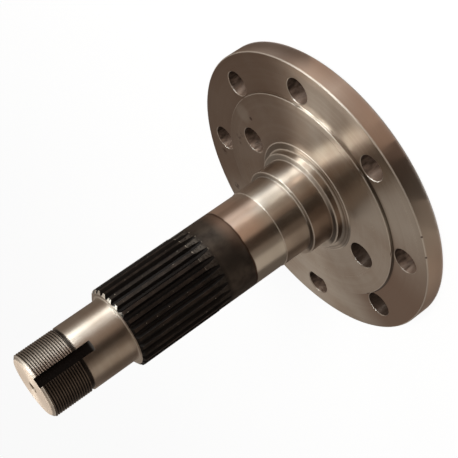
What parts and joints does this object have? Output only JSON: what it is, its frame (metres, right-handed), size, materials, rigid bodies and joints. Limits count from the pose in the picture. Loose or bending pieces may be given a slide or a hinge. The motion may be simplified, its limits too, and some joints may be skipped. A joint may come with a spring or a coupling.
{
  "type": "axle shaft",
  "caption": "Flanged steel axle shaft with a drilled round flange, turned seal and bearing seats, a hobbed spline, a plain neck and a threaded end with a lock washer slot.",
  "frame": {"origin": "centre of the flange's back face, which the part stands on", "axes": "+Z along the shaft, from the flange's back to the threaded end; +X through the centre of one bolt hole"},
  "size_m": [0.188, 0.188, 0.2103],
  "materials": {
    "turned_steel": "turned and ground, black on the hardened spline, light rust"
  },
  "bodies": {
    "root": {"axle_shaft": "turned_steel"}
  },
  "joints": []
}
